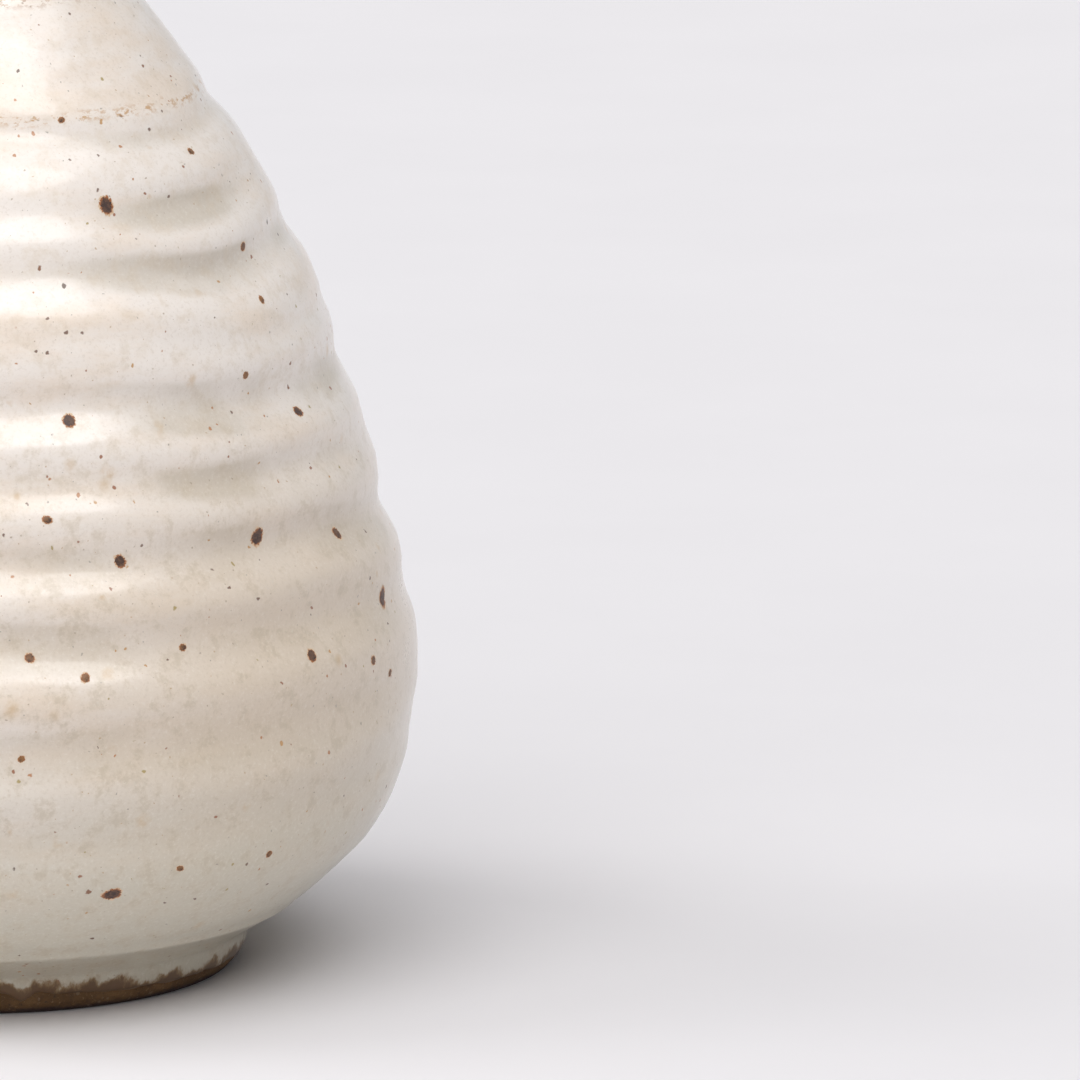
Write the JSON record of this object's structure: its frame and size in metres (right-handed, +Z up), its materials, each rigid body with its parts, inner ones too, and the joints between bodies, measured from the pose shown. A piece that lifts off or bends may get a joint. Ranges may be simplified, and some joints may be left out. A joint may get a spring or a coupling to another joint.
{
  "type": "bottle vase",
  "caption": "Wheel-thrown stoneware bottle vase with a ringed pear-shaped body, short flared neck, speckled cream glaze and a bare trimmed foot ring.",
  "frame": {"origin": "centre of the foot ring's resting plane, on the wheel's axis", "axes": "+Z up along the wheel's axis to the mouth, -Y is the front"},
  "size_m": [0.1022, 0.1021, 0.15],
  "materials": {
    "toasted_clay": "bare stoneware, toasted brown in the kiln, matte and slightly gritty",
    "speckled_glaze": "satin cream glaze, peach where thin on the ridges, greyer where it pools, with rust specks",
    "liner_glaze": "satin cream liner glaze, plain",
    "iron_spot": "dark brown melted iron spots, slightly dimpled"
  },
  "bodies": {
    "root": {"clay_body": "toasted_clay", "outer_glaze": "speckled_glaze", "liner_glaze": "liner_glaze", "iron_spots": "iron_spot"}
  },
  "joints": []
}
